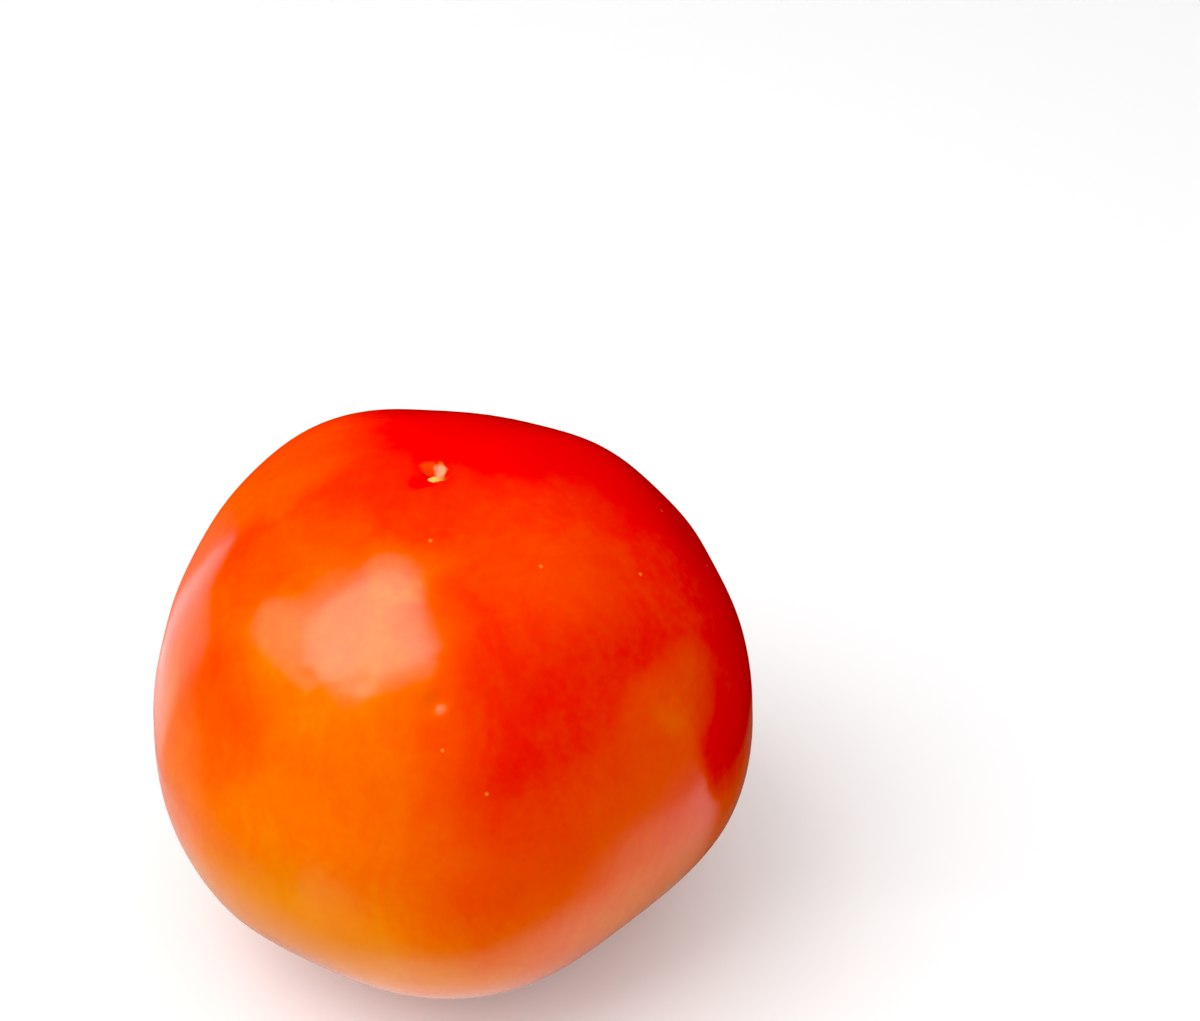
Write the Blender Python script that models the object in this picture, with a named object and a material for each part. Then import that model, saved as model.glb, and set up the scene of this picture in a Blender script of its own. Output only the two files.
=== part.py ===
"""A whole loose tomato, standing on its stem end with the blossom end up.

Metres, +Z up. The origin is the middle of its footprint, on the surface that it rests on.
The fruit is one solid: a round body with five uneven lobes, a small dimple at the blossom end,
a hollow where the stem was, and shoulders round that hollow with a flat spot to rest on.
"""

import math

import bpy
import bmesh
from mathutils import Vector

# Body, before its lobes swell it
EQUATOR_RADIUS = 0.0369
BLOSSOM_HEIGHT = 0.038       # from the widest level up to the blossom end
STEM_HEIGHT = 0.0328         # from the widest level down to the stem end
FULLNESS = 2.08              # 2 gives an ellipse in profile, more gives a squarer one
LEVEL_BLEND = 0.7            # how far from the widest level the upper and lower heights mix

# Lobes: where each crest is, in degrees round the axis from +X, and how far it stands out
LOBES = (
    (-88.0, 0.0028),
    (-7.0, 0.0031),
    (43.0, 0.0025),
    (133.0, 0.0047),
    (216.0, 0.0016),
)
LOBE_SHARPNESS = 8.0         # more makes a lobe narrower and the groove beside it wider
LOBE_LEAN = math.radians(8.7)    # how far a crest drifts round the axis on its way to either end
STEM_END_SWELL = 0.8         # how much more the lobes stand out towards the stem end
LOBE_DROP = 0.12             # share of a lobe's swell that also goes along the axis

# Ends
DIMPLE_RADIUS = 0.0032
DIMPLE_DEPTH = 0.0009
CAVITY_RADIUS = 0.0155       # hollow where the stem was, out to the top of the shoulders
CAVITY_DEPTH = 0.007
PRESSED_DEPTH = 0.0009       # how much of the shoulders the flat spot takes off

# Mesh
SEGMENTS = 72
RINGS = 40
END_CROWDING = 0.6           # 0 spaces the rings evenly, more crowds them towards the two ends
SMOOTH_ANGLE = math.radians(40)

SKIN_COLOUR = (0.80, 0.09, 0.01, 1.0)
SKIN_ROUGHNESS = 0.22


def clear_scene():
    for thing in list(bpy.data.objects):
        bpy.data.objects.remove(thing, do_unlink=True)


def smoothstep(t):
    t = min(max(t, 0.0), 1.0)
    return t * t * (3.0 - 2.0 * t)


def hump(distance, radius):
    """1 on the axis, falling smoothly to 0 at the radius."""
    return 0.5 * (1.0 + math.cos(math.pi * min(distance / radius, 1.0)))


def crowded_elevation(elevation):
    """Moves an evenly spaced elevation towards the nearer end, so that the ends get more rings."""
    half_turn = math.pi / 2
    even = elevation / half_turn
    return half_turn * ((1.0 - END_CROWDING) * even + END_CROWDING * math.sin(half_turn * even))


def body_distance(elevation):
    """How far the round body reaches from its middle at this elevation."""
    outward = math.cos(elevation)
    upward = math.sin(elevation)
    upper = smoothstep((upward + LEVEL_BLEND) / (2.0 * LEVEL_BLEND))
    height = STEM_HEIGHT + (BLOSSOM_HEIGHT - STEM_HEIGHT) * upper
    total = (outward / EQUATOR_RADIUS) ** FULLNESS + (abs(upward) / height) ** FULLNESS
    return total ** (-1.0 / FULLNESS)


def lobe_swell(azimuth, elevation):
    """How far the lobes stand out from the round body, most of all on the shoulders."""
    upward = math.sin(elevation)
    swell = 0.0
    for crest, rise in LOBES:
        turned = azimuth - math.radians(crest) + LOBE_LEAN * upward
        swell += rise * math.exp(LOBE_SHARPNESS * (math.cos(turned) - 1.0))
    return swell * math.cos(elevation) * (1.0 + STEM_END_SWELL * max(-upward, 0.0))


def skin_point(azimuth, elevation):
    """The point of the skin in this direction from the middle of the widest level."""
    upward = math.sin(elevation)
    reach = body_distance(elevation)
    swell = lobe_swell(azimuth, elevation)
    radius = reach * math.cos(elevation) + swell
    height = reach * upward + LOBE_DROP * swell * upward
    if upward > 0.0:
        height -= DIMPLE_DEPTH * hump(radius, DIMPLE_RADIUS)
    else:
        height += CAVITY_DEPTH * hump(radius, CAVITY_RADIUS)
    return Vector((radius * math.cos(azimuth), radius * math.sin(azimuth), height))


def shape_skin(mesh):
    """Moves each vertex of a unit sphere onto the skin."""
    for vertex in mesh.verts:
        azimuth = math.atan2(vertex.co.y, vertex.co.x)
        elevation = math.asin(min(max(vertex.co.z, -1.0), 1.0))
        vertex.co = skin_point(azimuth, crowded_elevation(elevation))


def press_flat_spot(mesh):
    """Flattens the lowest part of the shoulders onto one level and puts that level at z = 0."""
    rest_level = min(vertex.co.z for vertex in mesh.verts) + PRESSED_DEPTH
    for vertex in mesh.verts:
        vertex.co.z = max(vertex.co.z - rest_level, 0.0)


def centre_footprint(mesh):
    """Puts the middle of the fruit's width and depth over the origin."""
    across = [vertex.co.x for vertex in mesh.verts]
    along = [vertex.co.y for vertex in mesh.verts]
    middle = Vector(((min(across) + max(across)) / 2, (min(along) + max(along)) / 2, 0.0))
    for vertex in mesh.verts:
        vertex.co -= middle


def skin_material():
    material = bpy.data.materials.new("tomato_skin")
    material.use_nodes = True
    shader = material.node_tree.nodes["Principled BSDF"]
    shader.inputs["Base Color"].default_value = SKIN_COLOUR
    shader.inputs["Roughness"].default_value = SKIN_ROUGHNESS
    shader.inputs["Metallic"].default_value = 0.0
    return material


def make_tomato():
    mesh = bmesh.new()
    bmesh.ops.create_uvsphere(mesh, u_segments=SEGMENTS, v_segments=RINGS, radius=1.0)
    shape_skin(mesh)
    press_flat_spot(mesh)
    centre_footprint(mesh)
    bmesh.ops.recalc_face_normals(mesh, faces=mesh.faces)
    data = bpy.data.meshes.new("tomato")
    mesh.to_mesh(data)
    mesh.free()
    data.shade_smooth()
    data.set_sharp_from_angle(angle=SMOOTH_ANGLE)
    data.materials.append(skin_material())
    tomato = bpy.data.objects.new("tomato", data)
    bpy.context.scene.collection.objects.link(tomato)
    return tomato


clear_scene()
make_tomato()
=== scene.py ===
"""The look of the tomato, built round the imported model. Metres, +Z up, the tomato standing at the origin."""

import math

import bpy
import numpy as np
from mathutils import Matrix, Vector


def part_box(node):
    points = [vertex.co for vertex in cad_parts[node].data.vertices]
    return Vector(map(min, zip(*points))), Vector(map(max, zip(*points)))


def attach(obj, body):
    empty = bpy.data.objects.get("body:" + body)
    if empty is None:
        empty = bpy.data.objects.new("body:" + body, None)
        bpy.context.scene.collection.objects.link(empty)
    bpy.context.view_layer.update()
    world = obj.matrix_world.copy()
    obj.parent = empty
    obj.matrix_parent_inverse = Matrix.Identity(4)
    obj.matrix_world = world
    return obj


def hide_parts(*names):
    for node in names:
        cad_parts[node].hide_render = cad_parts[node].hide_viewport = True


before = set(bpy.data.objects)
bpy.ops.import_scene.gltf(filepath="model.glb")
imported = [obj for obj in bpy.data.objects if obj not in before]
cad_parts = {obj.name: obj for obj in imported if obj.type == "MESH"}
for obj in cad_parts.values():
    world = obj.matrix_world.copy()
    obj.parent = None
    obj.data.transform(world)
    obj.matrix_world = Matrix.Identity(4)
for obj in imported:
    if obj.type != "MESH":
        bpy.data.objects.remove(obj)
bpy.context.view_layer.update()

# Body, before its lobes swell it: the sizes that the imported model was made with
EQUATOR_RADIUS = 0.0369
BLOSSOM_HEIGHT = 0.038
STEM_HEIGHT = 0.0328
FULLNESS = 2.08
LEVEL_BLEND = 0.7
LOBES = (
    (-88.0, 0.0028),
    (-7.0, 0.0031),
    (43.0, 0.0025),
    (133.0, 0.0047),
    (216.0, 0.0016),
)
LOBE_SHARPNESS = 8.0
LOBE_LEAN = math.radians(8.7)
STEM_END_SWELL = 0.8
LOBE_DROP = 0.12
CAVITY_RADIUS = 0.0155
CAVITY_DEPTH = 0.007
PRESSED_DEPTH = 0.0009

# Fine shape at the blossom end, whose scar lies a little in front of the axis
SCAR_OFFSET = (0.0003, -0.0018)
DIMPLE_RADIUS = 0.0042
DIMPLE_DEPTH = 0.0005
CRATER_RADIUS = 0.0020
CRATER_DEPTH = 0.0010
CRATER_WAVES = ((2.0, 0.6, 0.06), (3.0, -0.4, 0.04))    # round its edge: how many, phase, share of the radius
NUB_OFFSET = (-0.0001, -0.0008)
NUB_RADIUS = 0.0011
NUB_HEIGHT = 0.0008

# Fine shape at the stem end, in the middle of its hollow
CREASES = 9
CREASE_DEPTH = 0.00035
CREASE_REACH = (0.0035, 0.0165)    # from the middle of the stem end to their two ends
CREASE_FADES = (0.3, 0.6)    # shares of their length over which they start and end
CREASE_WANDER = 1.3    # how far their waves are shifted round the stem end, in radians of a wave
CREASE_SHARPNESS = 3
STEM_SCAR_RADIUS = 0.0046
STEM_SCAR_RISE = 0.0007
STEM_SCAR_SLOPE = 0.28    # width of its edge as a share of its radius
STEM_SCAR_WAVES = ((5.0, 0.5, 0.10), (8.0, 0.0, 0.06))
STEM_PIT_RADIUS = 0.0016
STEM_PIT_DEPTH = 0.0011

# Fine shape all over
UNEVEN_WAVES = 40
UNEVEN_LENGTHS = (0.010, 0.028)
UNEVEN_HEIGHT = 0.00010
UNEVEN_SEED = 5
PITS = (  # azimuth and elevation in degrees, radius, depth
    (-87.2, 40.2, 0.0018, 0.00032),
    (-118.0, 41.0, 0.0020, 0.00006),
    (-104.0, 43.0, 0.0024, 0.00007),
)
SPECKS = (  # azimuth and elevation in degrees
    (-89.0, 69.7),
    (-47.6, 59.5),
    (-21.9, 46.8),
    (-78.5, 24.0),
    (-86.3, 32.2),
)
UNSEEN_SPECKS = 9
UNSEEN_AZIMUTHS = (0.0, 150.0)
UNSEEN_ELEVATIONS = (-35.0, 65.0)
UNSEEN_SEED = 11
SPOT_STEPS = 8    # tries that bring a spot on the skin to its angles

# Mesh: its segments crowd towards the front, and its rings towards the two ends
SEGMENTS = 384
FRONT = math.radians(-90.0)
FRONT_CROWDING = 0.4
RINGS = 256
END_CROWDING = 0.6
BAKE_DISC_RADIUS = 0.285    # of each half's disc in the bake map
BAKE_UPPER_MIDDLE = (0.70, 0.70)
BAKE_LOWER_MIDDLE = (0.30, 0.30)

# Camera, as seen from the middle of the fruit's widest level
CAMERA_PITCH = math.radians(35.41)
CAMERA_DEPTH = 0.2954
CENTRE_LEFT = 0.0201
CENTRE_BELOW = 0.0252
LENS = 67.5
SENSOR_WIDTH = 36.0
CLIP_START = 0.01

# Light
KEY_DIRECTION = Vector((-0.52, -0.20, 0.83)).normalized()
KEY_AIM = Vector((-0.008, -0.020, 0.033))    # from the middle of the widest level to the highlight
KEY_DISTANCE = 0.6
KEY_SIZE = 0.55
KEY_RADIANCE = 2.8
# What the gloss shows of the key light: radiance, and corners in metres across and up the light
KEY_PANES = (
    (7.4, (
        (-0.17, 0.24), (-0.20, -0.07), (0.09, -0.31), (0.33, 0.06),
        (0.38, 0.28), (0.28, 0.41), (-0.11, 0.32),
    )),
    (3.2, ((-0.20, -0.07), (-0.40, -0.22), (-0.32, -0.42), (0.06, -0.41), (0.09, -0.31))),
    (3.2, ((0.09, -0.31), (0.42, -0.02), (0.56, 0.22), (0.42, 0.38), (0.38, 0.28), (0.33, 0.06))),
)
# Fill from all round, and how much of it reflections show
FILL_AT_HORIZON = 0.40
FILL_AT_ZENITH = 1.12
FILL_REFLECTION = 0.05
FILL_DARK_SIDE = (15.0, -5.0)    # azimuth and elevation of where the fill is held back
FILL_DARK_EDGE = (0.5, 0.95)    # cosines from there
FILL_DARK_SHARE = 0.5
# Floor and backdrop
FLOOR_HALF_SIZE = 3.0
FLOOR_ALBEDO = 0.72
FLOOR_ROUGHNESS = 0.7
FLOOR_SPECULAR = 0.2
FLOOR_LIFT = 0.2    # light added to what the camera sees of it
FLOOR_FADE = (0.24, 0.70)    # distances over which it runs into the backdrop
BACKDROP = 0.95
BLACK_LEVEL = 0.038

# A low card round the back and right, seen only in reflections: dark red, and orange at its left end
CARD_RADIUS = 0.065
CARD_HEIGHT = 0.085
CARD_FROM = math.radians(-17.0)
CARD_TO = math.radians(147.0)
CARD_STEPS = 48
CARD_FOOT_FROM = math.radians(-6.0)    # from here to its right end its lower edge rises
CARD_FOOT_RISE = 0.024
CARD_COLOURS = (  # azimuth in degrees, colour
    (95.0, (0.10, 0.004, 0.001)),
    (112.0, (0.70, 0.030, 0.003)),
    (127.0, (0.90, 0.100, 0.008)),
    (147.0, (0.95, 0.450, 0.250)),
)

# A bright oval sheet under the fruit, seen only in reflections: its band runs along the fruit's lower edge
SHEET_MIDDLE = (0.010, 0.005)
SHEET_HALF_SIZE = (0.080, 0.060)
SHEET_SEGMENTS = 96
SHEET_LIFT = 0.0005
SHEET_RISE = (0.35, 0.78)    # where its band begins, as shares of the half size
SHEET_FALL = (0.86, 1.00)    # where its band ends
SHEET_CONTACT = 0.3    # radiance under the fruit
SHEET_LEFT = (0.78, 0.55)    # radiance of its band and at its edge
SHEET_RIGHT = (1.45, 0.9)
SHEET_CHANGE = (-0.028, -0.008)    # where left becomes right, along x
SHEET_DARK = 0.15    # radiance at the back on the right
SHEET_DARK_FROM = ((0.020, 0.035), (-0.010, 0.002))    # where that starts, along x and y

# Strips of floor on the left, seen only in reflections
STRIP_LIFT = 0.0002
STRIPS = (  # radiance, and corners along x and y
    (1.25, ((-0.060, 0.062), (-0.085, 0.020), (-2.7, 1.00), (-1.9, 2.30))),
    (0.55, ((-0.085, 0.020), (-0.050, 0.000), (-0.040, -0.045), (-2.0, -1.70), (-2.7, 1.00))),
)


def smoothstep(t):
    t = np.clip(t, 0.0, 1.0)
    return t * t * (3.0 - 2.0 * t)


def hump(distance, radius):
    """1 in the middle, falling smoothly to 0 at the radius."""
    return 0.5 * (1.0 + np.cos(np.pi * np.clip(distance / radius, 0.0, 1.0)))


def waved(around, waves):
    """1 round a middle, give or take these waves."""
    outline = 1.0
    for count, phase, height in waves:
        outline = outline + height * np.cos(count * around + phase)
    return outline


def crowded_elevations():
    even = np.linspace(-1.0, 1.0, RINGS + 1)[1:-1]
    return math.pi / 2 * ((1.0 - END_CROWDING) * even + END_CROWDING * np.sin(math.pi / 2 * even))


def body_distance(elevation):
    outward = np.cos(elevation)
    upward = np.sin(elevation)
    upper = smoothstep((upward + LEVEL_BLEND) / (2.0 * LEVEL_BLEND))
    height = STEM_HEIGHT + (BLOSSOM_HEIGHT - STEM_HEIGHT) * upper
    total = (np.abs(outward) / EQUATOR_RADIUS) ** FULLNESS + (np.abs(upward) / height) ** FULLNESS
    return total ** (-1.0 / FULLNESS)


def lobe_swell(azimuth, elevation):
    upward = np.sin(elevation)
    swell = 0.0
    for crest, rise in LOBES:
        turned = azimuth - math.radians(crest) + LOBE_LEAN * upward
        swell = swell + rise * np.exp(LOBE_SHARPNESS * (np.cos(turned) - 1.0))
    return swell * np.cos(elevation) * (1.0 + STEM_END_SWELL * np.maximum(-upward, 0.0))


def skin_points(azimuth, elevation):
    """Points of the skin in these directions, from the middle of the widest level, with no fine shape."""
    upward = np.sin(elevation)
    reach = body_distance(elevation)
    swell = lobe_swell(azimuth, elevation)
    radius = reach * np.cos(elevation) + swell
    height = reach * upward + LOBE_DROP * swell * upward
    height = height + np.where(upward < 0.0, CAVITY_DEPTH * hump(radius, CAVITY_RADIUS), 0.0)
    return np.stack([radius * np.cos(azimuth), radius * np.sin(azimuth), height], -1)


def blossom_scar(points):
    """How far the blossom end's dimple, crater and nub move each point upwards."""
    across = points[:, 0] - SCAR_OFFSET[0]
    away = points[:, 1] - SCAR_OFFSET[1]
    around = np.arctan2(away, across)
    distance = np.hypot(across, away) / waved(around, CRATER_WAVES)
    rise = -DIMPLE_DEPTH * hump(distance, DIMPLE_RADIUS) - CRATER_DEPTH * hump(distance, CRATER_RADIUS)
    rise = rise + NUB_HEIGHT * hump(np.hypot(across - NUB_OFFSET[0], away - NUB_OFFSET[1]), NUB_RADIUS)
    return np.where(points[:, 2] > 0.0, rise, 0.0)


def stem_scar(points):
    """How far the stem end's corky scar and the creases round it move each point upwards."""
    distance = np.hypot(points[:, 0], points[:, 1])
    around = np.arctan2(points[:, 1], points[:, 0])
    start, end = CREASE_REACH
    first, last = (fade * (end - start) for fade in CREASE_FADES)
    reach = smoothstep((distance - start) / first) * smoothstep((end - distance) / last)
    turned = CREASES * around + CREASE_WANDER * np.sin(2.0 * around)
    crease = np.clip(np.cos(turned), 0.0, 1.0) ** CREASE_SHARPNESS
    rise = CREASE_DEPTH * crease * reach
    edge = STEM_SCAR_RADIUS * waved(around, STEM_SCAR_WAVES)
    rise = rise - STEM_SCAR_RISE * smoothstep((edge - distance) / (STEM_SCAR_SLOPE * STEM_SCAR_RADIUS))
    rise = rise + STEM_PIT_DEPTH * hump(distance, STEM_PIT_RADIUS)
    return np.where(points[:, 2] < 0.0, rise, 0.0)


def unevenness(points):
    """Slight waves of the skin, the sum of seeded plane waves."""
    random = np.random.default_rng(UNEVEN_SEED)
    total = np.zeros(len(points))
    for _ in range(UNEVEN_WAVES):
        heading = random.normal(size=3)
        heading /= np.linalg.norm(heading)
        length = random.uniform(*UNEVEN_LENGTHS)
        phase = random.uniform(0.0, 2.0 * math.pi)
        total += np.sin(2.0 * math.pi * (points @ heading) / length + phase)
    return UNEVEN_HEIGHT * total / math.sqrt(UNEVEN_WAVES / 2.0)


def spot_on_skin(azimuth, elevation):
    """The skin's point in the direction of these angles in degrees, allowing for the lobes."""
    goal_azimuth, goal_elevation = math.radians(azimuth), math.radians(elevation)
    turned, tilted = goal_azimuth, goal_elevation
    for _ in range(SPOT_STEPS):
        x, y, z = skin_points(np.array([turned]), np.array([tilted]))[0]
        turned += goal_azimuth - math.atan2(y, x)
        tilted += goal_elevation - math.atan2(z, math.hypot(x, y))
    return np.array([x, y, z])


def unseen_specks():
    """A few more specks, on the sides that the photo doesn't show."""
    random = np.random.default_rng(UNSEEN_SEED)
    azimuths = random.uniform(*UNSEEN_AZIMUTHS, UNSEEN_SPECKS)
    elevations = random.uniform(*UNSEEN_ELEVATIONS, UNSEEN_SPECKS)
    return tuple(zip(azimuths.tolist(), elevations.tolist()))


def fine_shape(points):
    """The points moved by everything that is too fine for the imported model."""
    outward = points / np.linalg.norm(points, axis=1, keepdims=True)
    push = unevenness(points)
    for azimuth, elevation, radius, depth in PITS:
        distance = np.linalg.norm(points - spot_on_skin(azimuth, elevation), axis=1)
        push = push - depth * hump(distance, radius)
    shaped = points + outward * push[:, None]
    shaped[:, 2] += blossom_scar(points) + stem_scar(points)
    return shaped


def grid_faces():
    """Quads between the rings and triangles at the two ends, whose vertices come after the rings'."""
    ring_count = RINGS - 1
    stem_end = ring_count * SEGMENTS
    blossom_end = stem_end + 1
    faces = []
    for ring in range(ring_count - 1):
        for segment in range(SEGMENTS):
            beside = (segment + 1) % SEGMENTS
            low, high = ring * SEGMENTS, (ring + 1) * SEGMENTS
            faces.append((low + segment, low + beside, high + beside, high + segment))
    last = (ring_count - 1) * SEGMENTS
    for segment in range(SEGMENTS):
        beside = (segment + 1) % SEGMENTS
        faces.append((stem_end, beside, segment))
        faces.append((blossom_end, last + segment, last + beside))
    return faces


def crowded_azimuths():
    even = np.linspace(0.0, 2.0 * math.pi, SEGMENTS, endpoint=False)
    return even - FRONT_CROWDING * np.sin(even - FRONT)


def make_tomato():
    """The skin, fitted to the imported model's box, with the places on it that its colours start from."""
    azimuth, elevation = np.meshgrid(crowded_azimuths(), crowded_elevations())
    azimuth = np.append(azimuth.ravel(), [0.0, 0.0])
    elevation = np.append(elevation.ravel(), [-math.pi / 2, math.pi / 2])
    points = fine_shape(skin_points(azimuth, elevation))
    rest_level = points[:, 2].min() + PRESSED_DEPTH
    points[:, 2] = np.maximum(points[:, 2] - rest_level, 0.0)

    low, high = (np.array(corner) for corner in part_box("tomato"))
    size = points.max(0) - points.min(0)
    scale = (high - low) / size
    shift = low - points.min(0) * scale
    points = points * scale + shift
    centre = Vector(np.array([0.0, 0.0, -rest_level]) * scale + shift)
    specks = [centre + Vector(spot_on_skin(*speck) * scale) for speck in SPECKS + unseen_specks()]

    data = bpy.data.meshes.new("tomato_skin")
    data.from_pydata(points.tolist(), [], grid_faces())
    data.shade_smooth()
    add_bake_map(data, azimuth, elevation)
    piece = bpy.data.objects.new("tomato_skin", data)
    bpy.context.scene.collection.objects.link(piece)
    return piece, centre, Vector(points[-1]), Vector(points[-2]), specks


def add_bake_map(data, azimuth, elevation):
    """Two equal-area discs, one for the upper half and one for the lower half."""
    layer = data.uv_layers.new(name="OFBake")
    for face in data.polygons:
        corners = list(face.vertices)
        upper = sum(elevation[c] for c in corners) > 0.0
        middle = BAKE_UPPER_MIDDLE if upper else BAKE_LOWER_MIDDLE
        for loop, corner in zip(face.loop_indices, corners):
            from_end = math.pi / 2 - (elevation[corner] if upper else -elevation[corner])
            reach = BAKE_DISC_RADIUS * math.sin(from_end / 2.0) / math.sin(math.pi / 4.0)
            u = middle[0] + reach * math.cos(azimuth[corner]) * (1.0 if upper else -1.0)
            v = middle[1] + reach * math.sin(azimuth[corner])
            layer.data[loop].uv = (u, v)


# ---------------------------------------------------------------- material

class Nodes:
    """Short ways to add nodes to one material."""

    def __init__(self, material):
        material.use_nodes = True
        self.tree = material.node_tree
        self.shader = self.tree.nodes["Principled BSDF"]

    def add(self, kind, **settings):
        node = self.tree.nodes.new(kind)
        for name, value in settings.items():
            setattr(node, name, value)
        return node

    def put(self, value, socket):
        if isinstance(value, bpy.types.NodeSocket):
            self.tree.links.new(value, socket)
        else:
            socket.default_value = value

    def math(self, operation, first, second=0.0, clamp=False):
        node = self.add("ShaderNodeMath", operation=operation, use_clamp=clamp)
        self.put(first, node.inputs[0])
        self.put(second, node.inputs[1])
        return node.outputs[0]

    def vector(self, operation, first, second=(0.0, 0.0, 0.0)):
        node = self.add("ShaderNodeVectorMath", operation=operation)
        self.put(first, node.inputs[0])
        self.put(second, node.inputs[1])
        gives_number = operation in ("DISTANCE", "DOT_PRODUCT", "LENGTH")
        return node.outputs["Value" if gives_number else "Vector"]

    def step(self, value, low, high, to_low=0.0, to_high=1.0):
        """to_low below low, to_high above high, and a smooth change between."""
        node = self.add("ShaderNodeMapRange", interpolation_type="SMOOTHSTEP")
        for socket, given in zip(node.inputs, (value, low, high, to_low, to_high)):
            self.put(given, socket)
        return node.outputs[0]

    def noise(self, where, scale, detail, roughness):
        node = self.add("ShaderNodeTexNoise")
        self.put(where, node.inputs["Vector"])
        self.put(scale, node.inputs["Scale"])
        self.put(detail, node.inputs["Detail"])
        self.put(roughness, node.inputs["Roughness"])
        return node.outputs[0]

    def bent(self, where, scale, amount):
        """The place moved by up to about this many metres, which gives what is drawn an uneven outline."""
        node = self.add("ShaderNodeTexNoise")
        self.put(where, node.inputs["Vector"])
        self.put(scale, node.inputs["Scale"])
        away = self.vector("SUBTRACT", node.outputs["Color"], (0.5, 0.5, 0.5))
        return self.vector("ADD", where, self.vector("MULTIPLY", away, (2.0 * amount,) * 3))

    def mix(self, share, first, second):
        """The first colour where the share is 0, and the second where it is 1."""
        node = self.add("ShaderNodeMix", data_type="RGBA")
        self.put(share, node.inputs["Factor"])
        colours = [socket for socket in node.inputs if socket.type == "RGBA"]
        for socket, given in zip(colours, (first, second)):
            self.put(given, socket)
        return next(socket for socket in node.outputs if socket.type == "RGBA")

    def varied(self, where, noise, change):
        """A number that changes with a noise: its scale, detail and roughness, then what step takes."""
        return self.step(self.noise(where, *noise), *change)

    def ramp(self, share, stops):
        node = self.add("ShaderNodeValToRGB")
        self.put(share, node.inputs[0])
        elements = node.color_ramp.elements
        while len(elements) < len(stops):
            elements.new(0.5)
        for element, (place, colour) in zip(elements, stops):
            element.position = place
            element.color = (*colour, 1.0)
        return node.outputs[0]


# Skin colours from the ripest red to the least ripe yellow-orange
RIPENESS_COLOURS = (
    (0.0, (0.86, 0.020, 0.0008)),
    (0.25, (0.87, 0.045, 0.0010)),
    (0.5, (0.88, 0.090, 0.0015)),
    (0.75, (0.88, 0.160, 0.0025)),
    (1.0, (0.87, 0.250, 0.0060)),
)
# How unripe it is by the sine of the elevation: from, to, and the values there
UNRIPE_BY_HEIGHT = (-0.42, 0.16, 0.72, 0.26)
RIPER_BLOSSOM_END = (0.93, 1.0, 0.0, -0.10)
# The slowest side to ripen: azimuth, elevation, width in degrees, how much less ripe
LATE_SIDE = (-118.0, 20.0, 60.0, 0.46)
# It fades out over the front lobe's ridge: the azimuth that it is measured along, and two cosines from there
LATE_SIDE_FACES = -178.0
LATE_SIDE_EDGE = (-0.26, 0.22)
# Patches that are less ripe (above 0) or riper (below 0): azimuth, elevation, width in degrees, strength
RIPENESS_PATCHES = (
    (-84.0, -4.0, 22.0, 0.20),
    (-138.0, 24.0, 18.0, -0.24),
    (150.0, 52.0, 28.0, 0.22),
    (20.0, 79.0, 13.0, -0.20),
    (-136.0, 0.0, 22.0, 0.07),
    (-45.0, -6.0, 30.0, 0.11),
    (-34.0, 28.0, 13.0, 0.24),
    (-38.0, 68.0, 24.0, 0.18),
    (-54.0, 18.0, 24.0, 0.10),
    (-95.0, 50.0, 15.0, 0.08),
    (-98.0, 64.0, 12.0, 0.20),
    (-34.0, 44.0, 22.0, 0.05),
    (-150.0, 45.0, 19.0, -0.14),
    (-152.0, 14.0, 16.0, 0.10),
    (-112.0, -6.0, 22.0, 0.09),
    (50.0, 72.0, 45.0, -0.16),
    (-160.0, 74.0, 22.0, 0.08),
)
# How outlines wander: noise scale, and metres
PATCH_BEND = (50.0, 0.008)
SCAR_BEND = (900.0, 0.0005)
STEM_BEND = (300.0, 0.0012)
# Changes with a noise: its scale, detail and roughness, then two values of it and what they give, or 0 and 1
BLOTCHES = ((70.0, 2.0, 0.5), (0.25, 0.75, -0.05, 0.05))
STREAKS = ((14.0, 3.0, 0.6), (0.25, 0.75, -0.04, 0.04))
STREAK_SQUEEZE = (1.0, 1.0, 0.12)
GRAIN = ((900.0, 2.0, 0.5), (0.3, 0.7, -0.02, 0.02))
CORK_FLECKS = ((2600.0, 2.0, 0.5), (0.56, 0.64))
SKIN_ROUGHNESS = ((250.0, 3.0, 0.5), (0.3, 0.7, 0.17, 0.23))
STEM_CORK_NOISE = (1400.0, 3.0, 0.5)
BUMP_NOISE = (700.0, 3.0, 0.5)
BUMP_DISTANCE = 0.0002
BUMP_SHARES = (0.12, 1.0)    # on skin and on cork
CORK_ROUGHNESS = 0.5    # more than the skin's
SKIN_IOR = 1.38

SPECK = (0.95, 0.32, 0.10, 1.0)
SPECK_RADIUS = 0.00035
SPECK_CORE = 0.4    # share of the radius that has the full colour
SPECK_SHARE = 0.55
CORK = (0.85, 0.48, 0.10, 1.0)
CORK_HALF_SIZE = (0.0010, 0.0012)
CORK_CORE = 0.7    # share of the half size that has the full colour
# Dark olive for the flecks in the cork, and for the painted shadow under the cork
OLIVE_FLECKS_AND_PAINTED_SHADOW = (0.22, 0.16, 0.02, 1.0)
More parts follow.
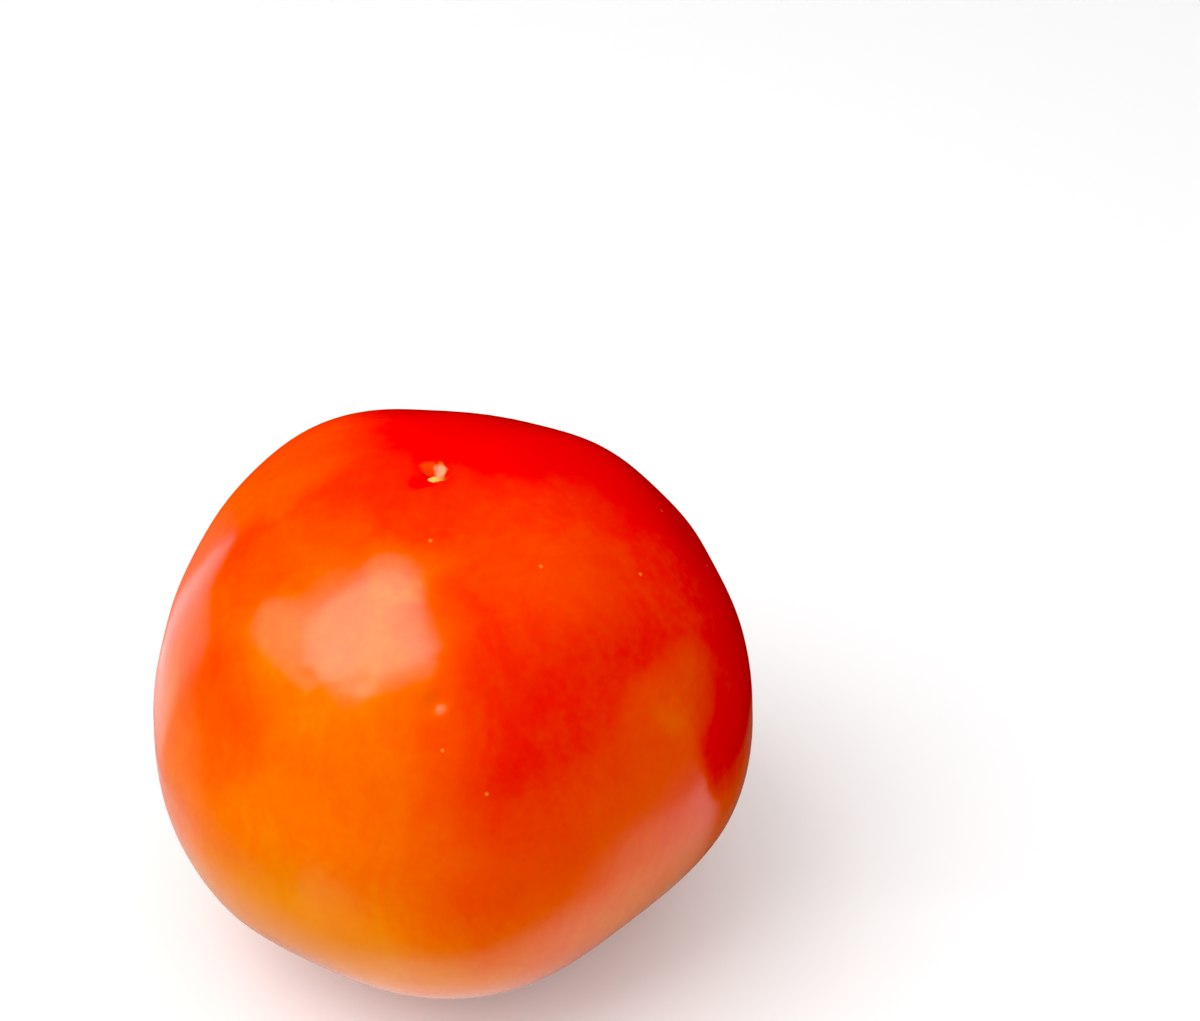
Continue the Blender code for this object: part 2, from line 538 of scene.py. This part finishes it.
# Marks round the blossom scar, some of them painted shade, highlight and shadow: where from the scar, half
# sizes, share of them with the full colour, how strong, colour
SCAR_MARKS_AND_PAINTED_LIGHT = (
    ((-0.0018, -0.0023), (0.0023, 0.0019), 0.2, 0.8, (0.84, 0.008, 0.0005, 1.0)),    # painted shade: darker red on the dimple's near wall, which faces away from the light
    ((-0.0010, 0.0012), (0.0014, 0.0014), 0.4, 0.8, (0.88, 0.085, 0.0015, 1.0)),    # orange rim on the left
    ((0.0005, 0.0006), (0.0007, 0.0018), 0.6, 0.85, (0.93, 0.22, 0.06, 1.0)),    # painted highlight: paler far wall of the dimple, where it catches the light
    ((0.0002, -0.0013), (0.0010, 0.0002), 0.3, 0.8, OLIVE_FLECKS_AND_PAINTED_SHADOW),    # painted shadow: thin dark line under the cork
)
SCAR_LEVELS = (-0.01, -0.006)    # below the blossom end, where these marks stop
SHOULDER = (0.72, 0.40, 0.03, 1.0)
SHOULDER_FADE = (0.006, 0.017, 0.75, 0.0)    # distances from the stem end, and the share of the colour there
STEM_CORK = (0.42, 0.26, 0.10, 1.0)
STEM_CORK_DARK = (0.12, 0.06, 0.02, 1.0)
STEM_CORK_EDGE = (0.92, 1.12)    # shares of the stem scar's radius


def direction(azimuth, elevation):
    """Unit vector for these angles in degrees."""
    level = math.cos(math.radians(elevation))
    return Vector((
        level * math.cos(math.radians(azimuth)),
        level * math.sin(math.radians(azimuth)),
        math.sin(math.radians(elevation)),
    ))


def ripeness_patch(nodes, facing, azimuth, elevation, width, strength):
    along = nodes.vector("DOT_PRODUCT", facing, direction(azimuth, elevation))
    return nodes.step(along, math.cos(math.radians(width)), 1.0, 0.0, strength)


def unripeness(nodes, place, centre):
    """From 0, ripe and red, to 1, less ripe and yellow-orange."""
    facing = nodes.vector("NORMALIZE", nodes.vector("SUBTRACT", nodes.bent(place, *PATCH_BEND), centre))
    split = nodes.add("ShaderNodeSeparateXYZ")
    nodes.put(facing, split.inputs[0])
    total = nodes.math(
        "ADD",
        nodes.step(split.outputs["Z"], *UNRIPE_BY_HEIGHT),
        nodes.step(split.outputs["Z"], *RIPER_BLOSSOM_END),
    )
    across = nodes.vector("DOT_PRODUCT", facing, direction(LATE_SIDE_FACES, 0.0))
    late = ripeness_patch(nodes, facing, *LATE_SIDE)
    total = nodes.math("ADD", total, nodes.math("MULTIPLY", nodes.step(across, *LATE_SIDE_EDGE), late))
    for patch in RIPENESS_PATCHES:
        total = nodes.math("ADD", total, ripeness_patch(nodes, facing, *patch))
    total = nodes.math("ADD", total, nodes.varied(place, *BLOTCHES))
    squeezed = nodes.vector("MULTIPLY", facing, STREAK_SQUEEZE)
    total = nodes.math("ADD", total, nodes.varied(squeezed, *STREAKS))
    return nodes.math("ADD", total, nodes.varied(place, *GRAIN), clamp=True)


def reach_of(nodes, place, middle, half_size):
    """Level distance from the middle, as a share of the half sizes along x and y."""
    away = nodes.vector("SUBTRACT", place, middle)
    shares = nodes.vector("MULTIPLY", away, (1.0 / half_size[0], 1.0 / half_size[1], 0.0))
    return nodes.vector("LENGTH", shares)


def blossom_colours(nodes, colour, place, blossom_end):
    """The marks round the blossom scar, some of them painted shade, highlight and shadow, the flecked cork in
    it, and where that cork is.
    """
    ragged = nodes.bent(place, *SCAR_BEND)
    split = nodes.add("ShaderNodeSeparateXYZ")
    nodes.put(nodes.vector("SUBTRACT", place, blossom_end), split.inputs[0])
    near = nodes.step(split.outputs["Z"], *SCAR_LEVELS)

    def mark(offset, half_size, core, share):
        middle = blossom_end + Vector((SCAR_OFFSET[0] + offset[0], SCAR_OFFSET[1] + offset[1], 0.0))
        reach = reach_of(nodes, ragged, middle, half_size)
        return nodes.math("MULTIPLY", nodes.step(reach, core, 1.0, share, 0.0), near)

    # the marks, among them painted shade on the near wall, a painted highlight on the far wall and a painted
    # shadow under the cork
    for *where, shade in SCAR_MARKS_AND_PAINTED_LIGHT:
        colour = nodes.mix(mark(*where), colour, shade)
    cork = mark(NUB_OFFSET, CORK_HALF_SIZE, CORK_CORE, 1.0)
    colour = nodes.mix(cork, colour, CORK)
    flecks = nodes.varied(place, *CORK_FLECKS)
    return nodes.mix(nodes.math("MULTIPLY", cork, flecks), colour, OLIVE_FLECKS_AND_PAINTED_SHADOW), cork


def stem_colours(nodes, colour, place, stem_end):
    """A paler green-gold hollow with the stem scar's brown cork in its middle, and where that cork is."""
    ragged = nodes.bent(place, *STEM_BEND)
    reach = nodes.vector("DISTANCE", ragged, stem_end)
    colour = nodes.mix(nodes.step(reach, *SHOULDER_FADE), colour, SHOULDER)
    grain = nodes.mix(nodes.noise(place, *STEM_CORK_NOISE), STEM_CORK_DARK, STEM_CORK)
    full, none = (share * STEM_SCAR_RADIUS for share in STEM_CORK_EDGE)
    cork = nodes.step(reach, full, none, 1.0, 0.0)
    return nodes.mix(cork, colour, grain), cork


def skin_material(centre, blossom_end, stem_end, specks):
    material = bpy.data.materials.new("tomato_skin")
    nodes = Nodes(material)
    place = nodes.add("ShaderNodeTexCoord").outputs["Object"]
    colour = nodes.ramp(unripeness(nodes, place, centre), RIPENESS_COLOURS)
    nearest = nodes.vector("DISTANCE", place, specks[0])
    for speck in specks[1:]:
        nearest = nodes.math("MINIMUM", nearest, nodes.vector("DISTANCE", place, speck))
    speck_share = nodes.step(nearest, SPECK_CORE * SPECK_RADIUS, SPECK_RADIUS, SPECK_SHARE, 0.0)
    colour = nodes.mix(speck_share, colour, SPECK)
    colour, blossom_cork = blossom_colours(nodes, colour, place, blossom_end)
    colour, stem_cork = stem_colours(nodes, colour, place, stem_end)
    nodes.put(colour, nodes.shader.inputs["Base Color"])

    cork = nodes.math("MAXIMUM", blossom_cork, stem_cork)
    extra = nodes.step(cork, 0.0, 1.0, 0.0, CORK_ROUGHNESS)
    roughness = nodes.math("ADD", nodes.varied(place, *SKIN_ROUGHNESS), extra)
    nodes.put(roughness, nodes.shader.inputs["Roughness"])
    nodes.shader.inputs["IOR"].default_value = SKIN_IOR

    share = nodes.step(cork, 0.0, 1.0, *BUMP_SHARES)
    bump = nodes.add("ShaderNodeBump")
    nodes.put(nodes.math("MULTIPLY", nodes.noise(place, *BUMP_NOISE), share), bump.inputs["Height"])
    bump.inputs["Distance"].default_value = BUMP_DISTANCE
    nodes.put(bump.outputs[0], nodes.shader.inputs["Normal"])
    return material


# ---------------------------------------------------------------- studio

def floor_material():
    """Pale and dull. The camera sees it a little lighter, and running into the backdrop further off."""
    material = bpy.data.materials.new("floor")
    nodes = Nodes(material)
    nodes.shader.inputs["Base Color"].default_value = (FLOOR_ALBEDO, FLOOR_ALBEDO, FLOOR_ALBEDO, 1.0)
    nodes.shader.inputs["Roughness"].default_value = FLOOR_ROUGHNESS
    nodes.shader.inputs["Specular IOR Level"].default_value = FLOOR_SPECULAR
    nodes.shader.inputs["Emission Color"].default_value = (1.0, 1.0, 1.0, 1.0)
    seen = nodes.add("ShaderNodeLightPath").outputs["Is Camera Ray"]
    lift = nodes.step(seen, 0.0, 1.0, 0.0, FLOOR_LIFT)
    nodes.put(lift, nodes.shader.inputs["Emission Strength"])
    distance = nodes.vector("LENGTH", nodes.add("ShaderNodeTexCoord").outputs["Object"])
    share = nodes.math("MULTIPLY", seen, nodes.step(distance, *FLOOR_FADE))
    backdrop = nodes.add("ShaderNodeEmission")
    backdrop.inputs["Strength"].default_value = BACKDROP
    both = nodes.add("ShaderNodeMixShader")
    nodes.put(share, both.inputs[0])
    nodes.put(nodes.shader.outputs[0], both.inputs[1])
    nodes.put(backdrop.outputs[0], both.inputs[2])
    nodes.put(both.outputs[0], nodes.tree.nodes["Material Output"].inputs["Surface"])
    return material


def make_floor():
    half = FLOOR_HALF_SIZE
    data = bpy.data.meshes.new("floor")
    corners = [(-half, -half, 0.0), (half, -half, 0.0), (half, half, 0.0), (-half, half, 0.0)]
    data.from_pydata(corners, [], [(0, 1, 2, 3)])
    data.materials.append(floor_material())
    floor = bpy.data.objects.new("floor", data)
    bpy.context.scene.collection.objects.link(floor)


def glow_material(name, colour, radiance):
    material = bpy.data.materials.new(name)
    nodes = Nodes(material)
    nodes.shader.inputs["Base Color"].default_value = (0.0, 0.0, 0.0, 1.0)
    nodes.shader.inputs["Specular IOR Level"].default_value = 0.0
    nodes.shader.inputs["Emission Color"].default_value = colour
    nodes.shader.inputs["Emission Strength"].default_value = radiance
    return material


def reflected_only(name, data):
    """A studio object that only glossy reflections see."""
    shown = bpy.data.objects.new(name, data)
    bpy.context.scene.collection.objects.link(shown)
    shown.visible_camera = False
    shown.visible_diffuse = False
    shown.visible_transmission = False
    shown.visible_volume_scatter = False
    shown.visible_shadow = False
    return shown


def make_card(centre):
    """Stands where its reflection keeps the far rim of the fruit as dark as other fruit beside it would."""
    data = bpy.data.meshes.new("card")
    points = []
    for step in range(CARD_STEPS + 1):
        turn = CARD_FROM + (CARD_TO - CARD_FROM) * step / CARD_STEPS
        x = CARD_RADIUS * math.cos(turn)
        y = CARD_RADIUS * math.sin(turn)
        foot = CARD_FOOT_RISE * max(0.0, (CARD_FOOT_FROM - turn) / (CARD_FOOT_FROM - CARD_FROM))
        points += [(x, y, foot), (x, y, CARD_HEIGHT)]
    faces = [(2 * step, 2 * step + 2, 2 * step + 3, 2 * step + 1) for step in range(CARD_STEPS)]
    data.from_pydata(points, [], faces)
    material = glow_material("card", (0.0, 0.0, 0.0, 1.0), 1.0)
    nodes = Nodes(material)
    split = nodes.add("ShaderNodeSeparateXYZ")
    nodes.put(nodes.add("ShaderNodeTexCoord").outputs["Object"], split.inputs[0])
    half_turns = nodes.math("DIVIDE", nodes.math("ARCTAN2", split.outputs["Y"], split.outputs["X"]), math.pi)
    stops = [(degrees / 180.0, colour) for degrees, colour in CARD_COLOURS]
    nodes.put(nodes.ramp(half_turns, stops), nodes.shader.inputs["Emission Color"])
    data.materials.append(material)
    reflected_only("card", data).location = (centre.x, centre.y, 0.0)


def make_sheet():
    """Dim under the fruit, brightest along its band, dimmer past it, and dark at the back on the right."""
    data = bpy.data.meshes.new("sheet")
    turns = [2.0 * math.pi * step / SHEET_SEGMENTS for step in range(SHEET_SEGMENTS)]
    points = [(
        SHEET_MIDDLE[0] + SHEET_HALF_SIZE[0] * math.cos(turn),
        SHEET_MIDDLE[1] + SHEET_HALF_SIZE[1] * math.sin(turn),
        SHEET_LIFT,
    ) for turn in turns]
    data.from_pydata(points, [], [tuple(range(SHEET_SEGMENTS))])
    material = glow_material("sheet", (1.0, 1.0, 1.0, 1.0), 1.0)
    nodes = Nodes(material)
    place = nodes.add("ShaderNodeTexCoord").outputs["Object"]
    split = nodes.add("ShaderNodeSeparateXYZ")
    nodes.put(place, split.inputs[0])
    reach = reach_of(nodes, place, (*SHEET_MIDDLE, 0.0), SHEET_HALF_SIZE)
    band, edge = (
        nodes.step(split.outputs["X"], *SHEET_CHANGE, left, right)
        for left, right in zip(SHEET_LEFT, SHEET_RIGHT)
    )
    level = nodes.step(reach, *SHEET_RISE, SHEET_CONTACT, band)
    level = nodes.step(reach, *SHEET_FALL, level, edge)
    right, back = (nodes.step(split.outputs[axis], *ends) for axis, ends in zip("XY", SHEET_DARK_FROM))
    dark = nodes.math("MULTIPLY", right, back)
    level = nodes.step(dark, 0.0, 1.0, level, SHEET_DARK)
    nodes.put(level, nodes.shader.inputs["Emission Strength"])
    data.materials.append(material)
    reflected_only("sheet", data)


def make_strips():
    for number, (radiance, corners) in enumerate(STRIPS):
        name = f"strip_{number}"
        data = bpy.data.meshes.new(name)
        data.from_pydata([(x, y, STRIP_LIFT) for x, y in corners], [], [tuple(range(len(corners)))])
        data.materials.append(glow_material(name, (1.0, 1.0, 1.0, 1.0), radiance))
        reflected_only(name, data)


def add_key(centre):
    """One soft light from the upper left, and its panes, which only reflections see."""
    turn = KEY_DIRECTION.to_track_quat("Z", "Y")
    place = Matrix.Translation(centre + KEY_AIM + KEY_DIRECTION * KEY_DISTANCE) @ turn.to_matrix().to_4x4()
    light = bpy.data.lights.new("key", "AREA")
    light.size = KEY_SIZE
    light.energy = KEY_RADIANCE * math.pi * KEY_SIZE**2
    lamp = bpy.data.objects.new("key", light)
    lamp.matrix_world = place
    lamp.visible_glossy = False
    bpy.context.scene.collection.objects.link(lamp)
    for number, (radiance, corners) in enumerate(KEY_PANES):
        name = f"key_pane_{number}"
        data = bpy.data.meshes.new(name)
        data.from_pydata([(x, y, 0.0) for x, y in corners], [], [tuple(range(len(corners)))])
        data.materials.append(glow_material(name, (1.0, 1.0, 1.0, 1.0), radiance))
        reflected_only(name, data).matrix_world = place


def set_world():
    """An even fill that barely shows in reflections, behind a pale backdrop."""
    world = bpy.data.worlds.new("studio")
    bpy.context.scene.world = world
    world.use_nodes = True
    nodes = world.node_tree.nodes
    links = world.node_tree.links
    path = nodes.new("ShaderNodeLightPath")
    split = nodes.new("ShaderNodeSeparateXYZ")
    place = nodes.new("ShaderNodeTexCoord").outputs["Generated"]
    links.new(place, split.inputs[0])
    height = nodes.new("ShaderNodeMapRange")
    links.new(split.outputs["Z"], height.inputs["Value"])
    height.inputs["To Min"].default_value = FILL_AT_HORIZON
    height.inputs["To Max"].default_value = FILL_AT_ZENITH
    aside = nodes.new("ShaderNodeVectorMath")
    aside.operation = "DOT_PRODUCT"
    links.new(place, aside.inputs[0])
    aside.inputs[1].default_value = direction(*FILL_DARK_SIDE)
    held = nodes.new("ShaderNodeMapRange")
    held.interpolation_type = "SMOOTHSTEP"
    links.new(aside.outputs["Value"], held.inputs["Value"])
    held.inputs["From Min"].default_value, held.inputs["From Max"].default_value = FILL_DARK_EDGE
    held.inputs["To Min"].default_value = 1.0
    held.inputs["To Max"].default_value = 1.0 - FILL_DARK_SHARE
    product = nodes.new("ShaderNodeMath")
    product.operation = "MULTIPLY"
    links.new(height.outputs["Result"], product.inputs[0])
    links.new(held.outputs["Result"], product.inputs[1])
    level = product.outputs[0]
    for ray, seen in (("Is Glossy Ray", FILL_REFLECTION), ("Is Camera Ray", BACKDROP)):
        mix = nodes.new("ShaderNodeMix")
        links.new(path.outputs[ray], mix.inputs["Factor"])
        links.new(level, mix.inputs["A"])
        mix.inputs["B"].default_value = seen
        level = mix.outputs["Result"]
    links.new(level, nodes["Background"].inputs["Strength"])
    nodes["Background"].inputs["Color"].default_value = (1.0, 1.0, 1.0, 1.0)


def set_view():
    """Plain display colours, with the faint haze of reflections taken out of the darks."""
    view = bpy.context.scene.view_settings
    view.view_transform = "Standard"
    view.use_curve_mapping = True
    view.curve_mapping.black_level = (BLACK_LEVEL,) * 3
    view.curve_mapping.update()


def place_camera(centre):
    right = Vector((1.0, 0.0, 0.0))
    upward = Vector((0.0, math.sin(CAMERA_PITCH), math.cos(CAMERA_PITCH)))
    forward = Vector((0.0, math.cos(CAMERA_PITCH), -math.sin(CAMERA_PITCH)))
    data = bpy.data.cameras.new("camera")
    data.lens = LENS
    data.sensor_width = SENSOR_WIDTH
    data.clip_start = CLIP_START
    camera = bpy.data.objects.new("camera", data)
    spot = centre - forward * CAMERA_DEPTH + right * CENTRE_LEFT + upward * CENTRE_BELOW
    turn = Matrix((right, upward, -forward)).transposed()
    camera.matrix_world = Matrix.Translation(spot) @ turn.to_4x4()
    bpy.context.scene.collection.objects.link(camera)
    bpy.context.scene.camera = camera


tomato, centre, blossom_end, stem_end, specks = make_tomato()
tomato.data.materials.append(skin_material(centre, blossom_end, stem_end, specks))
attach(tomato, "root")
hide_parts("tomato")

make_floor()
make_sheet()
make_strips()
make_card(centre)
add_key(centre)
set_world()
place_camera(centre)
set_view()
